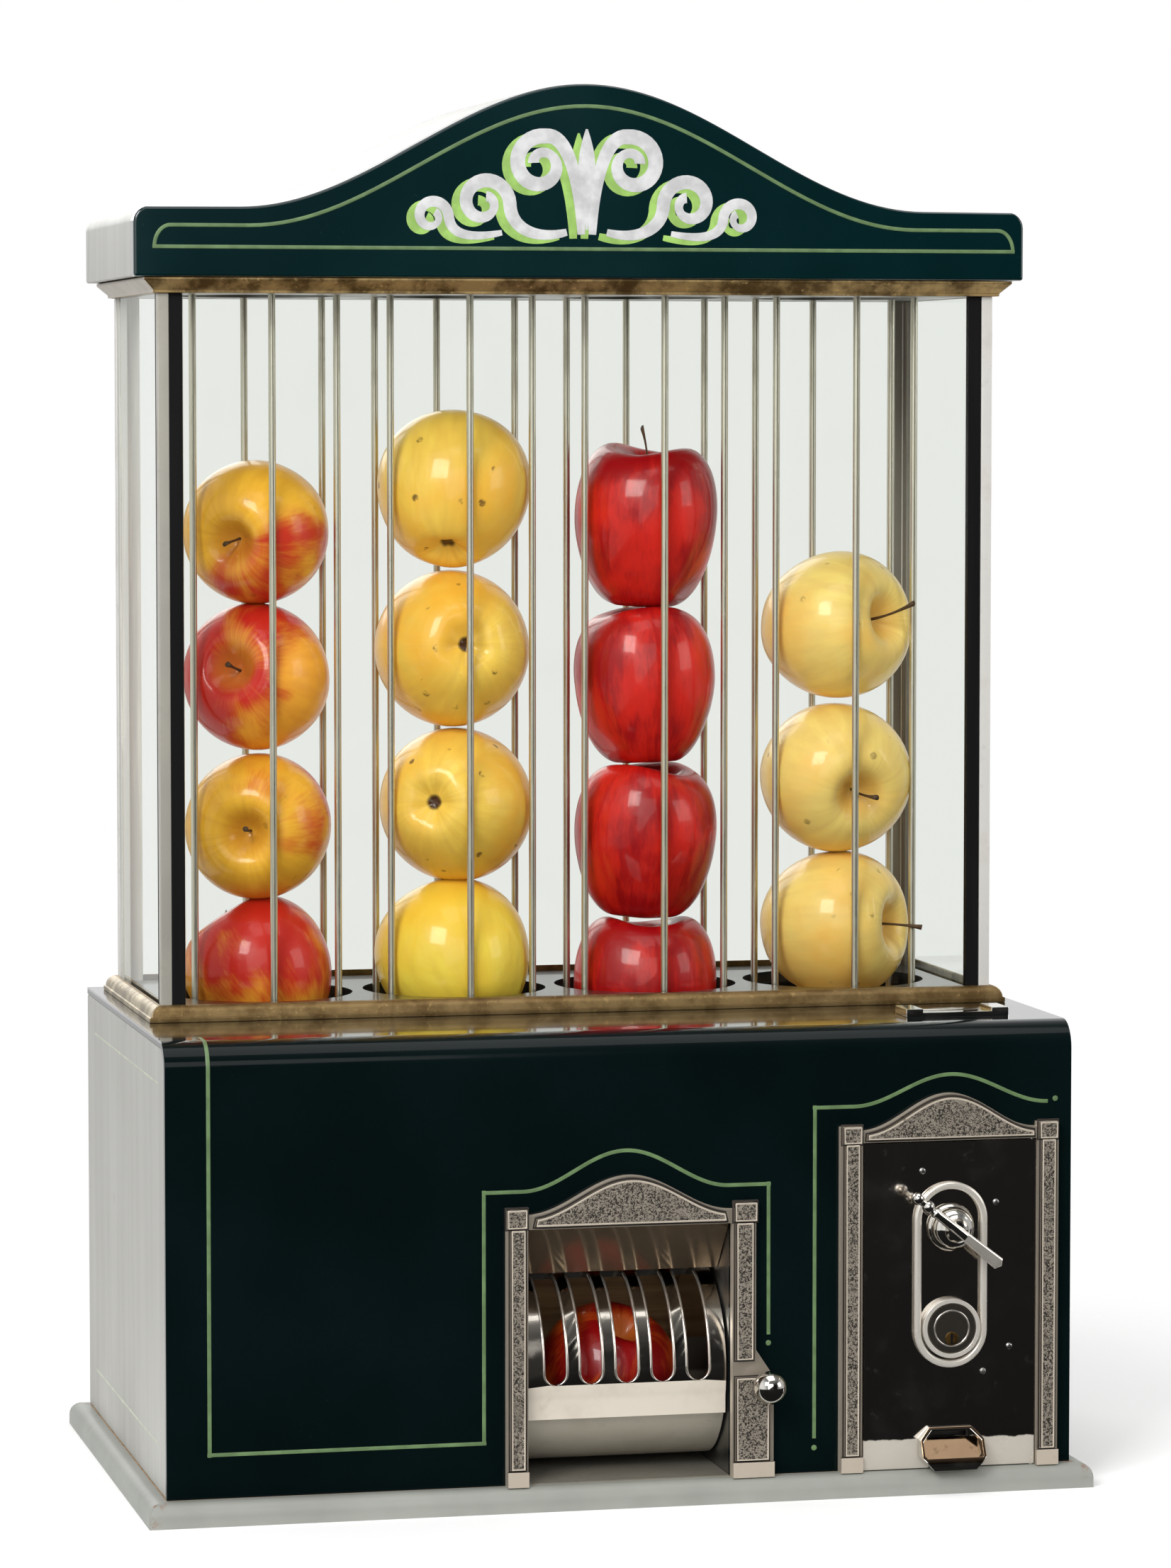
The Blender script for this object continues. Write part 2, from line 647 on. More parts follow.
def lathe(profile: Sequence[tuple[float, float]], steps: int = 48) -> tuple[list[Point], list[list[int]]]:
    """Turns a profile about the Z axis.

    Args:
        profile: Points (radius, height); a radius of 0 closes an end.
        steps: How many sides.

    Returns:
        The points and faces.
    """
    verts: list[Point] = []
    rows: list[list[int]] = []
    for radius, height in profile:
        if radius < 1e-7:
            rows.append([len(verts)] * steps)
            verts.append((0.0, 0.0, height))
            continue
        rows.append(list(range(len(verts), len(verts) + steps)))
        for i in range(steps):
            a = 2 * math.pi * i / steps
            verts.append((radius * math.cos(a), radius * math.sin(a), height))
    faces = []
    for lower, upper in zip(rows, rows[1:]):
        for i in range(steps):
            j = (i + 1) % steps
            ring = [lower[i], lower[j], upper[j], upper[i]]
            faces.append(list(dict.fromkeys(ring)))
    return verts, faces


def eased(node: str, width_mm: float, segments: int = 2) -> bpy.types.Object:
    """Copies a CAD node's shape with its sharp edges eased, as a made piece has them.

    Args:
        node: The CAD node.
        width_mm: Width of the eased edge.
        segments: Steps across it.

    Returns:
        The new piece, named after the node.
    """
    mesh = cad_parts[node].data.copy()
    mesh.materials.clear()
    shape = bmesh.new()
    shape.from_mesh(mesh)
    bmesh.ops.remove_doubles(shape, verts=shape.verts, dist=WELD)
    bmesh.ops.dissolve_limit(shape, angle_limit=math.radians(FLAT_DEGREES), verts=shape.verts, edges=shape.edges)
    shape.to_mesh(mesh)
    shape.free()
    piece = linked(node + "_piece", mesh)
    bevel = piece.modifiers.new("ease", "BEVEL")
    bevel.width = width_mm * MM
    bevel.segments = segments
    bevel.limit_method = "ANGLE"
    bevel.angle_limit = math.radians(SHARP_DEGREES)
    bevel.use_clamp_overlap = True
    apply_modifiers(piece)
    smooth(piece)
    even = piece.modifiers.new("flat_faces", "WEIGHTED_NORMAL")
    even.mode = "FACE_AREA"
    even.keep_sharp = True
    apply_modifiers(piece)
    return piece


class PieceBuilder:
    """Gathers shapes, each with its own finish, and makes one piece of them."""

    def __init__(self, name: str) -> None:
        """Starts an empty piece."""
        self.name = name
        self.verts: list[Point] = []
        self.faces: list[list[int]] = []
        self.slots: list[int] = []
        self.finishes: list[Finish] = []
        self.notes: dict[str, list[Point]] = {}

    def add(self, verts: Sequence[Sequence[float]], faces: Sequence[Sequence[int]], finish: Finish,
            place: Matrix | None = None, **notes: Sequence[Point]) -> "PieceBuilder":
        """Adds a shape.

        Args:
            verts: Its points in metres.
            faces: Its faces.
            finish: Its finish.
            place: Where it goes; as it is if left out.
            notes: Vectors to store at its points, by attribute name.

        Returns:
            The builder itself.
        """
        first = len(self.verts)
        self.verts.extend(tuple(place @ Vector(v)) if place else tuple(v) for v in verts)
        self.faces.extend([first + i for i in face] for face in faces)
        if finish not in self.finishes:
            self.finishes.append(finish)
        self.slots.extend([self.finishes.index(finish)] * len(faces))
        for name, values in notes.items():
            row = self.notes.setdefault(name, [])
            row.extend([(0.0, 0.0, 0.0)] * (first - len(row)))
            row.extend(tuple(v) for v in values)
        return self

    def take(self, piece: bpy.types.Object, finish: Finish) -> "PieceBuilder":
        """Adds the mesh of an object and removes the object."""
        mesh = piece.data
        self.add([v.co[:] for v in mesh.vertices], [list(p.vertices) for p in mesh.polygons], finish)
        bpy.data.objects.remove(piece)
        return self

    def build(self, sharp: float = 35) -> bpy.types.Object:
        """Makes the piece, shaded smooth up to an angle in degrees."""
        piece = new_mesh(self.name, self.verts, self.faces)
        mesh = piece.data
        for finish in self.finishes:
            mesh.materials.append(finish.material())
        mesh.polygons.foreach_set("material_index", self.slots)
        for name, values in self.notes.items():
            values.extend([(0.0, 0.0, 0.0)] * (len(self.verts) - len(values)))
            stored = mesh.attributes.new(name, "FLOAT_VECTOR", "POINT")
            stored.data.foreach_set("vector", [c for v in values for c in v])
        smooth(piece, sharp)
        return piece


class Growth:
    """A geometry node group with named inputs."""

    def __init__(self, name: str) -> None:
        """Makes the group with a shape going in and one coming out."""
        self.group = bpy.data.node_groups.new(name, "GeometryNodeTree")
        for way in ("INPUT", "OUTPUT"):
            self.group.interface.new_socket("Geometry", in_out=way, socket_type="NodeSocketGeometry")
        self.source = self.group.nodes.new("NodeGroupInput")
        self.sink = self.group.nodes.new("NodeGroupOutput")

    def ask(self, name: str, kind: str) -> bpy.types.NodeSocket:
        """Adds a named input and returns the socket that carries it."""
        self.group.interface.new_socket(name, in_out="INPUT", socket_type="NodeSocket" + kind)
        return self.source.outputs[name]

    def node(self, kind: str, settings: dict[str, object] | None = None,
             inputs: dict[object, object] | None = None) -> bpy.types.Node:
        """Adds a node, as new_node does."""
        return new_node(self.group, kind, settings, inputs)

    def close(self, shape: bpy.types.NodeSocket, material: bpy.types.NodeSocket) -> None:
        """Ends the group: plain mesh, its material, then the way out."""
        plain = self.node("GeometryNodeRealizeInstances", None, {0: shape}).outputs[0]
        done = self.node("GeometryNodeSetMaterial", None, {"Geometry": plain, "Material": material}).outputs[0]
        self.group.links.new(done, self.sink.inputs[0])

    def grow(self, seed: bpy.types.Object, **values: object) -> bpy.types.Object:
        """Runs the group on an object and leaves plain mesh.

        Args:
            seed: The object whose mesh goes in.
            values: Inputs by name.

        Returns:
            The same object.
        """
        modifier = seed.modifiers.new(self.group.name, "NODES")
        modifier.node_group = self.group
        for item in self.group.interface.items_tree:
            if item.in_out == "INPUT" and item.name in values:
                modifier[item.identifier] = values[item.name]
        apply_modifiers(seed)
        return seed


def sweep_group() -> Growth:
    """Group that sweeps an oval section along chains of edges; attribute girth swells or thins it."""
    growth = Growth("sweep")
    width, thick = growth.ask("Width", "Float"), growth.ask("Thick", "Float")
    facing, material = growth.ask("Facing", "Vector"), growth.ask("Material", "Material")
    curve = growth.node("GeometryNodeMeshToCurve", None, {0: growth.source.outputs["Geometry"]}).outputs[0]
    curve = growth.node("GeometryNodeSetCurveNormal", {"mode": "FREE"}, {"Curve": curve, "Normal": facing}).outputs[0]
    ring = growth.node("GeometryNodeCurvePrimitiveCircle", None, {"Resolution": 10, "Radius": 0.5}).outputs[0]
    flat = growth.node("ShaderNodeCombineXYZ", None, {0: thick, 1: width, 2: 1.0}).outputs[0]
    ring = growth.node("GeometryNodeTransform", None, {"Geometry": ring, "Scale": flat}).outputs[0]
    girth = growth.node("GeometryNodeInputNamedAttribute", None, {"Name": "girth"}).outputs[0]
    swept = growth.node("GeometryNodeCurveToMesh", None,
                        {"Curve": curve, "Profile Curve": ring, "Scale": girth, "Fill Caps": True}).outputs[0]
    growth.close(swept, material)
    return growth


def scatter_group() -> Growth:
    """Group that sets an object on points; attributes turn and size aim and scale each copy."""
    growth = Growth("scatter")
    model, material = growth.ask("Model", "Object"), growth.ask("Material", "Material")
    shape = growth.node("GeometryNodeObjectInfo", None, {"Object": model}).outputs["Geometry"]
    turn = growth.node("GeometryNodeInputNamedAttribute", {"data_type": "FLOAT_VECTOR"}, {"Name": "turn"}).outputs[0]
    turn = growth.node("FunctionNodeEulerToRotation", None, {0: turn}).outputs[0]
    size = growth.node("GeometryNodeInputNamedAttribute", {"data_type": "FLOAT_VECTOR"}, {"Name": "size"}).outputs[0]
    copies = growth.node("GeometryNodeInstanceOnPoints", None,
                         {"Points": growth.source.outputs["Geometry"], "Instance": shape,
                          "Rotation": turn, "Scale": size}).outputs[0]
    growth.close(copies, material)
    return growth


SWEEP = sweep_group()
SCATTER = scatter_group()


def sweep(name: str, lines: Sequence[Sequence[Point]], width: float, thick: float, facing: Point, finish: Finish,
          taper: Callable[[float], float] = lambda t: 1.0) -> bpy.types.Object:
    """Sweeps an oval section along lines.

    Args:
        name: The piece's name.
        lines: Points of each line in metres.
        width: Width of the section.
        thick: Its thickness along the facing direction.
        facing: The way the section's thin side looks.
        finish: Its finish.
        taper: Share of the full section at a share of the line's points.

    Returns:
        A mesh object.
    """
    verts: list[Point] = []
    edges: list[tuple[int, int]] = []
    girth: list[float] = []
    for line in lines:
        first = len(verts)
        verts.extend(tuple(p) for p in line)
        edges.extend((first + i, first + i + 1) for i in range(len(line) - 1))
        girth.extend(taper(i / (len(line) - 1)) for i in range(len(line)))
    mesh = bpy.data.meshes.new(name)
    mesh.from_pydata(verts, edges, [])
    mesh.attributes.new("girth", "FLOAT", "POINT").data.foreach_set("value", girth)
    seed = linked(name, mesh)
    return SWEEP.grow(seed, Width=width, Thick=thick, Facing=facing, Material=finish.material())


@dataclass(frozen=True)
class Spot:
    """A place, turn and size for one copy of a scattered shape."""
    at: Point
    turn: Point = (0.0, 0.0, 0.0)
    size: Point = (1.0, 1.0, 1.0)


def scatter(name: str, model: bpy.types.Object, spots: Sequence[Spot], finish: Finish) -> bpy.types.Object:
    """Sets copies of a model on spots and removes the model.

    Args:
        name: The piece's name.
        model: The object to copy.
        spots: Where the copies go.
        finish: Their finish.

    Returns:
        A mesh object.
    """
    mesh = bpy.data.meshes.new(name)
    mesh.from_pydata([s.at for s in spots], [], [])
    for key in ("turn", "size"):
        flat = [c for s in spots for c in getattr(s, key)]
        mesh.attributes.new(key, "FLOAT_VECTOR", "POINT").data.foreach_set("vector", flat)
    seed = linked(name, mesh)
    SCATTER.grow(seed, Model=model, Material=finish.material())
    bpy.data.objects.remove(model)
    return seed


STEM_STEPS = 8
STEM_LEAN = (0.16, 0.05)  # how far a stem's tip leans, as shares of its length


class Build(Enum):
    """How an apple is built."""
    ROUND = "round"
    TALL = "tall"


@dataclass(frozen=True)
class Apple:
    """One apple: its middle in millimetres, its size, the way its stem looks and its skin."""
    at: Point
    width: float
    height: float
    stem: Point
    skin: AppleSkin
    stem_len: float = 0.0
    build: Build = Build.ROUND
    spin: float = 0.0
    sun: Point = (0.0, 0.0, 0.0)

    def frame(self) -> Matrix:
        """Matrix from the apple's own directions, stem along +Z, to its place in metres."""
        turn = Vector((0, 0, 1)).rotation_difference(Vector(self.stem).normalized()).to_matrix().to_4x4()
        spun = Matrix.Rotation(math.radians(self.spin), 4, "Z")
        return Matrix.Translation(Vector(self.at) * MM) @ turn @ spun

    def point(self, t: float, around: float) -> Point:
        """A point of the skin in millimetres.

        Args:
            t: Angle down from the stem.
            around: Angle round the core.

        Returns:
            The point in the apple's own directions.
        """
        tall = self.build is Build.TALL
        radius, half = self.width / 2, self.height / 2
        c, s = math.cos(t), math.sin(t)
        low, high = max(0.0, -c), max(0.0, c)
        taper = 1 + 0.1 * c - 0.05 * c * c if tall else 1 + 0.06 * c
        lobe = 1 + (0.06 if tall else 0.018) * low ** 1.3 * math.cos(5 * around) + 0.008 * math.cos(2 * around + 0.7)
        lobe += (0.02 if tall else 0.0) * high * math.cos(5 * around + 0.4)
        rho = radius * s ** (0.54 if tall else 0.92) * taper * lobe
        z = half * (c + (0.05 * high * math.cos(2 * around) if tall else 0.03 * s * s))
        reach = rho / radius
        if c >= 0:
            z -= 0.42 * half * math.exp(-(reach / (0.36 if tall else 0.30)) ** 2)
        else:
            crown = 1 + (0.35 if tall else 0.15) * math.cos(5 * around) * min(1.0, reach / 0.3)
            z += (0.20 if tall else 0.26) * half * math.exp(-(reach / 0.26) ** 2) * crown
        return rho * math.cos(around), rho * math.sin(around), z

    def add_to(self, builder: PieceBuilder, number: int, rings: int = 44, steps: int = 64) -> None:
        """Adds the apple's skin and stem to a piece.

        Args:
            builder: The piece.
            number: The apple's number, which sets its marks apart.
            rings: Steps from stem to eye.
            steps: Steps round the core.
        """
        rows = []
        for i in range(rings + 1):
            t = math.pi * i / rings
            rows.append([self.point(t, 2 * math.pi * k / steps) for k in range(steps if 0 < i < rings else 1)])
        tops = max(p[2] for row in rows for p in row)
        lows = min(p[2] for row in rows for p in row)
        fit = self.height / (tops - lows)
        shift = (tops + lows) / 2
        broad = self.width / 2 / max(math.hypot(p[0], p[1]) for row in rows for p in row)
        verts = [(x * broad, y * broad, (z - shift) * fit) for row in rows for x, y, z in row]
        first = [0]
        for row in rows:
            first.append(first[-1] + len(row))
        faces = []
        for i in range(rings):
            for k in range(steps):
                upper = [first[i] + k % len(rows[i]), first[i] + (k + 1) % len(rows[i])]
                lower = [first[i + 1] + k % len(rows[i + 1]), first[i + 1] + (k + 1) % len(rows[i + 1])]
                faces.append(list(dict.fromkeys([upper[0], lower[0], lower[1], upper[1]])))
        radius = self.width / 2
        skin = [(x / radius, y / radius, z / radius) for x, y, z in verts]
        step = Vector((3.1, -1.7, 0.9)) * number
        marks = [(x + step.x, y + step.y, z + step.z) for x, y, z in skin]
        streaks = []
        for x, y, z in skin:
            off = max(math.hypot(x, y), 1e-6)
            streaks.append((x / off + step.x, y / off + step.y, 0.3 * z + step.z))
        turned = self.frame().to_3x3()
        sun = Vector(self.sun)
        sunny = [((turned @ Vector(v)).normalized().dot(sun), 0.0, 0.0) for v in verts]
        builder.add(scaled(verts), faces, self.skin, self.frame(), skin=skin, marks=marks, streaks=streaks, sun=sunny)
        if self.stem_len:
            foot = verts[0][2] - 1.5
            line = []
            for i in range(STEM_STEPS + 1):
                t = i / STEM_STEPS
                line.append((STEM_LEAN[0] * self.stem_len * t ** 2, STEM_LEAN[1] * self.stem_len * t ** 2,
                             foot + self.stem_len * t))
            place = self.frame()
            stalk = [tuple(place @ Vector((x * MM, y * MM, z * MM))) for x, y, z in line]
            made = sweep("stem", [stalk], 2.2 * MM, 2.0 * MM, (0.3, 0.2, 0.9), Finishes.STEM,
                         lambda t: 0.8 - 0.25 * math.sin(math.pi * t) + 0.5 * t ** 6)
            builder.take(made, Finishes.STEM)


def paint_nodes(finish: Finish, *nodes: str) -> None:
    """Gives CAD nodes that stay in view a finish."""
    for node in nodes:
        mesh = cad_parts[node].data
        mesh.materials.clear()
        mesh.materials.append(finish.material())


def paint_faces(piece: bpy.types.Object, rule: Callable[[Vector, Vector], Finish]) -> None:
    """Gives each face the finish that a rule picks from its middle, in millimetres, and its normal."""
    mesh = piece.data
    used: list[Finish] = []
    picks = []
    for face in mesh.polygons:
        finish = rule(face.center / MM, face.normal)
        if finish not in used:
            used.append(finish)
        picks.append(used.index(finish))
    mesh.materials.clear()
    for finish in used:
        mesh.materials.append(finish.material())
    mesh.polygons.foreach_set("material_index", picks)


def face_painted(node: str, width_mm: float, rule: Callable[[Vector, Vector], Finish],
                 segments: int = 2) -> bpy.types.Object:
    """An eased copy of a CAD node whose faces take the finishes that a rule picks, as in paint_faces."""
    piece = eased(node, width_mm, segments)
    paint_faces(piece, rule)
    return piece


def towards_front(x: float, y: float, z: float) -> Matrix:
    """Place, in millimetres, for a turned shape whose axis looks at the customer."""
    return Matrix.Translation(Vector((x, y, z)) * MM) @ Matrix.Rotation(math.pi / 2, 4, "X")


@dataclass
class Cabinet:
    """Lower body: base, boards, green front and the mouldings of the case."""
    body: str = "cabinet"
    case_half: float = 60.0
    side_normal: float = 0.3

    def build(self) -> None:
        """Makes the cabinet's pieces."""
        plain = (("front_panel", 0.5, Finishes.FRONT_GREEN, "green_enamel"),
                 ("side_panel_left", 1.0, Finishes.GREY, "grey_paint"),
                 ("side_panel_right", 1.0, Finishes.GREY, "grey_paint"),
                 ("back_panel", 0.6, Finishes.GREY, "grey_paint"),
                 ("base_moulding", 0.5, Finishes.BASE, "moulding_paint"),
                 ("coin_slot_plate", 0.4, Finishes.CHROME, "chrome"),
                 ("delivery_hood", 0.3, Finishes.HOOD, "chrome"))
        for node, ease, finish, slot in plain:
            dress(eased(node, ease), finish, self.body, slot, node)
        self.case()
        paint_nodes(Finishes.GLASS, "front_glass", "left_glass", "right_glass", "rear_glass")
        paint_nodes(Finishes.FLOOR, "case_floor")
        paint_nodes(Finishes.ROD, "column_rods_1", "column_rods_2", "column_rods_3", "column_rods_4")
        paint_nodes(Finishes.PINE, "base_board", "magazine_deck", "hopper_wall")
        paint_nodes(Finishes.STEEL, "loading_plate", "hinge_lower", "hinge_pin", "feed_ramp_left", "feed_ramp_right",
                    "feed_chute", "cheek_left", "cheek_right", "rack_guide", "return_spring", "coin_chute", "cash_box")
        paint_nodes(Finishes.TRAY, "delivery_tray")

    def case(self) -> None:
        """Makes the pieces of the case whose finish changes from face to face."""
        rear_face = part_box("rear_glass")[1][1] / MM
        middle = rear_face - self.case_half
        side = self.side_normal
        cornice = face_painted("cornice", 0.35, lambda at, normal: Finishes.GREY if at.y > rear_face + 1 else
                               Finishes.GILT_SIDE if abs(normal.x) > side else Finishes.GILT_BRIGHT)
        dress(cornice, Finishes.GILT_BRIGHT, self.body, "gilt", "cornice")
        foot = face_painted("case_moulding", 0.35,
                            lambda _, normal: Finishes.FOOT_SIDE if abs(normal.x) > side else Finishes.GILT)
        dress(foot, Finishes.GILT, self.body, "gilt", "case_moulding")
        posts = face_painted("case_posts", 0.5,
                             lambda at, _: Finishes.POST_PALE if at.y > middle or at.x > 0 else Finishes.POST)
        dress(posts, Finishes.POST, self.body, "post_nickel", "case_posts")
        strips = face_painted("glazing_strips", 0.3, lambda at, _: Finishes.RUBBER if at.y < middle else
                              Finishes.STRIP_PALE if at.x < 0 else Finishes.STRIP_GREY)
        dress(strips, Finishes.RUBBER, self.body, "black_rubber", "glazing_strips")


@dataclass
class Canopy:
    """Lifting top: sign board, roof and rear board."""
    body: str = "canopy"

    def build(self) -> None:
        """Makes the canopy's pieces."""
        dress(eased("sign_board", 1.2, 3), Finishes.GREEN, self.body, "green_enamel", "sign_board")
        dress(eased("canopy_roof", 0.6), Finishes.GREY, self.body, "grey_paint", "canopy_roof")
        dress(eased("canopy_rear_board", 1.0), Finishes.GREY, self.body, "grey_paint", "canopy_rear_board")
        paint_nodes(Finishes.STEEL, "hinge_upper")


@dataclass(frozen=True)
class Row:
    """One visible apple of a column: size, stem direction, skin, stem length and the side with the blush."""
    size: float
    stem: Point
    skin: AppleSkin
    stem_len: float = 0.0
    sun: Point = (0.0, 0.0, 0.0)


@dataclass
class FruitStock:
    """The apples in the four columns and the one waiting in the barrel."""
    body: str = "cabinet"
    column_x: tuple[float, ...] = (-133.5, -44.5, 44.5, 133.5)
    column_y: float = 33.0
    feet: tuple[float, ...] = (186.0, 188.0, 170.5, 201.0)
    hidden: tuple[float, ...] = (30.8, 34.1, 29.9, 32.2)
    gap: float = 0.3
    upright_w: float = 65.5
    flat: float = 0.9
    spin_step: float = 47.0
    waiting_at: Point = (1, -73.5, 48.3)
    waiting_size: tuple[float, float] = (61, 57)

    def column(self, i: int, rows: Sequence[Row], build: Build) -> list[Apple]:
        """The apples of one column, from the hidden one at its foot upwards.

        Args:
            i: The column's number.
            rows: The visible apples from the bottom.
            build: How they are built.

        Returns:
            The apples.
        """
        x, z, r = self.column_x[i], self.feet[i], self.hidden[i]
        apples = [Apple((x, self.column_y, z - self.gap - r), 2 * r, 2 * r * self.flat, (0.6, -0.5, 0.5), rows[0].skin)]
        tall = build is Build.TALL
        for k, row in enumerate(rows):
            apples.append(Apple((x, self.column_y, z + row.size / 2), self.upright_w if tall else row.size,
                                row.size if tall else self.flat * row.size, row.stem, row.skin, row.stem_len, build,
                                self.spin_step * k, row.sun))
            z += row.size + self.gap
        return apples

    def build(self) -> None:
        """Makes the apples."""
        warm, red, gold, crimson, pale = (Finishes.RUSSET, Finishes.RUSSET_RED, Finishes.GOLDEN, Finishes.CRIMSON,
                                          Finishes.PALE)
        first = self.column(0, (Row(66, (-0.5, 0.25, 0.8), red, 13, (0.3, -0.5, 0.6)),
                                Row(66, (-0.35, -0.9, -0.05), warm, 13, (0.75, -0.1, 0.65)),
                                Row(66, (-0.55, -0.8, 0.2), red, 12, (-0.8, -0.2, 0.4)),
                                Row(65, (-0.55, -0.8, -0.15), warm, 13, (0.6, -0.1, -0.8))), Build.ROUND)
        second = self.column(1, (Row(70, (-0.2, 0.6, 0.8), Finishes.LEMON), Row(70, (0.5, 0.85, -0.1), gold),
                                 Row(71, (0, 1, -0.1), gold), Row(70, (0.2, 0.5, 0.85), gold)), Build.ROUND)
        third = self.column(2, (Row(70, (0.02, 0.03, 1), crimson), Row(70, (0.05, -0.03, 1), crimson),
                                Row(71, (-0.03, 0.04, 1), crimson), Row(73, (0.04, -0.05, 1), crimson, 22)), Build.TALL)
        fourth = self.column(3, (Row(68, (0.75, -0.6, 0.05), pale, 24), Row(69, (0.15, -0.95, -0.25), pale, 24),
                                 Row(68, (0.6, -0.75, 0.15), pale, 26)), Build.ROUND)
        waiting = [Apple(self.waiting_at, *self.waiting_size, (0.2, -0.4, 0.8), Finishes.WAITING)]
        for node, slot, apples in (("apples_1_and_2", "apple_yellow", first + second),
                                   ("apples_3_and_4", "apple_red", third + fourth),
                                   ("barrel_apple", "apple_red", waiting)):
            builder = PieceBuilder(node + "_piece")
            for number, apple in enumerate(apples):
                apple.add_to(builder, number + len(node))
            dress(builder.build(180), apples[0].skin, self.body, slot, node)


@dataclass
class DeliveryUnit:
    """Stippled frame, slotted barrel and pull knob."""
    foot_z: float = 18.0
    relief_y: float = -124.0
    recess_y: float = -122.0
    opening: tuple[float, float, float] = (-44.1, 46.1, 121.5)
    axis: Point = (1.0, -73.5, 56.0)
    rim_r: float = 41.6
    bar_y: float = -111.0
    bar_z: float = 52.5
    ball_r: float = 7.25
    knob_stem_r: float = 2.5
    knob_back: float = -41.7
    knob_at: Point = (60.2, -132.25, 51)

    def frame_finish(self, at: Vector, normal: Vector) -> Finish:
        """Finish of a face of a cast frame: stipple on raised panels, dark at their edges, plain elsewhere."""
        if normal.y < -0.9 and at.y < self.relief_y + 0.2:
            return Finishes.FRAME_EDGE if at.z < self.foot_z else Finishes.STIPPLE
        walls = abs(normal.y) < 0.4 and self.relief_y < at.y < self.recess_y
        if walls:
            return Finishes.GROOVE
        recess = normal.y < -0.9 and abs(at.y - self.recess_y) < 0.3 and at.z > self.foot_z
        return Finishes.RECESS if recess else Finishes.FRAME_EDGE

    def drum_finish(self, at: Vector, normal: Vector) -> Finish:
        """Finish of a face of the barrel: pale flat bar, dull underside, polished elsewhere."""
        if at.z < self.bar_z and at.y < self.bar_y and normal.y < -0.5:
            return Finishes.BAR
        return Finishes.DRUM_LOW if at.z < self.bar_z and normal.y < -0.2 else Finishes.DRUM

    def panel_lines(self, name: str, cast: bpy.types.Object, opening: tuple[float, float, float], out: float, y: float,
                    width: float, finish: Finish) -> bpy.types.Object:
        """Lines that follow the edges of a cast frame's raised panels, apart from its plain feet.

        Args:
            name: The piece's name.
            cast: The frame's own piece.
            opening: The opening's two sides and its top, which lines over it stay above.
            out: Distance of the lines outside the panels' flat faces in millimetres.
            y: Where the lines lie, front to back.
            width: Width of the lines in millimetres.
            finish: Their finish.

        Returns:
            The piece.
        """
        lines = []
        mesh = cast.data
        for face in mesh.polygons:
            raised = face.normal.y < -0.99 and face.center.y < (self.relief_y + 0.2) * MM
            if not raised or face.center.z < self.foot_z * MM:
                continue
            over = opening[0] < face.center.x / MM < opening[1]
            low = (opening[2] + width / 2) * MM if over else 0.0
            ring = [mesh.vertices[v].co for v in face.vertices]
            line = []
            for before, here, after in zip(ring[-1:] + ring[:-1], ring, ring[1:] + ring[:1]):
                first, second = (here - before).normalized(), (after - here).normalized()
                side = (first + second).normalized().cross(face.normal)
                reach = out * MM / max(0.3, side.dot(first.cross(face.normal)))
                line.append((here.x + side.x * reach, y * MM, max(here.z + side.z * reach, low)))
            lines.append(line + line[:2])
        return sweep(name, lines, width * MM, 0.12 * MM, (0, -1, 0), finish)

    def cast_frame(self, node: str, opening: tuple[float, float, float]) -> None:
        """Makes one cast frame, with dark lines round its raised panels and a smooth rim on each.

        Args:
            node: The frame's CAD node.
            opening: The two sides and the top of its opening.
        """
        cast = face_painted(node, 0.35, self.frame_finish)
        for name, out, y, width, finish in (("grime", 0.8, self.recess_y, 1.0, Finishes.GROOVE),
                                            ("rims", -0.2, self.relief_y, 0.9, Finishes.FRAME_EDGE)):
            line = self.panel_lines(f"{node}_{name}", cast, opening, out, y, width, finish)
            dress(line, finish, "cabinet", "stippled_nickel")
        dress(cast, Finishes.STIPPLE, "cabinet", "stippled_nickel", node)

    def slot_rims(self, slots: int = 5, pitch: float = 15.8, half: float = 5.15, low: float = 1.75) -> bpy.types.Object:
        """Bright rolled rims round the barrel's slots.

        Args:
            slots: How many slots there are.
            pitch: Distance between them in millimetres.
            half: Half a slot's width.
            low: Height of the round lower end's centre above the barrel's axis.

        Returns:
            The piece.
        """
        axis_x, axis_y, axis_z = self.axis
        side = [(half, z) for _, z in arc(self.rim_r, range(72, 3, -4))]
        end = [(x, low - z) for x, z in arc(half, range(0, 181, 12))]
        outline = side + end + [(-x, z) for x, z in reversed(side)]
        wrapped = [(x, axis_y - math.sqrt(self.rim_r * self.rim_r - z * z), axis_z + z) for x, z in outline]
        lines = []
        for i in range(slots):
            middle = axis_x + (i - (slots - 1) / 2) * pitch
            lines.append(scaled((middle + x, y, z) for x, y, z in wrapped))
        return sweep("slot_rims", lines, 1.4 * MM, 1.4 * MM, (1, 0, 0), Finishes.RIM)

    def build(self) -> None:
        """Makes the delivery unit's pieces."""
        self.cast_frame("delivery_frame", self.opening)
        dress(face_painted("barrel", 0.7, self.drum_finish, 3), Finishes.DRUM, "barrel", "chrome", "barrel")
        dress(self.slot_rims(), Finishes.RIM, "barrel", "chrome")
        paint_nodes(Finishes.STEEL, "barrel_shafts", "barrel_pinion", "rack")
        ball = [(z, -x) for x, z in arc(self.ball_r, range(24, 181, 6))]
        stem = [(0, self.knob_back), (self.knob_stem_r, self.knob_back), (self.knob_stem_r, -7.6), (3.3, -7.2)]
        verts, faces = lathe(scaled(stem + ball), 56)
        knob = PieceBuilder("pull_knob_piece").add(verts, faces, Finishes.CHROME, towards_front(*self.knob_at))
        dress(knob.build(40), Finishes.CHROME, "knob", "chrome", "pull_knob")


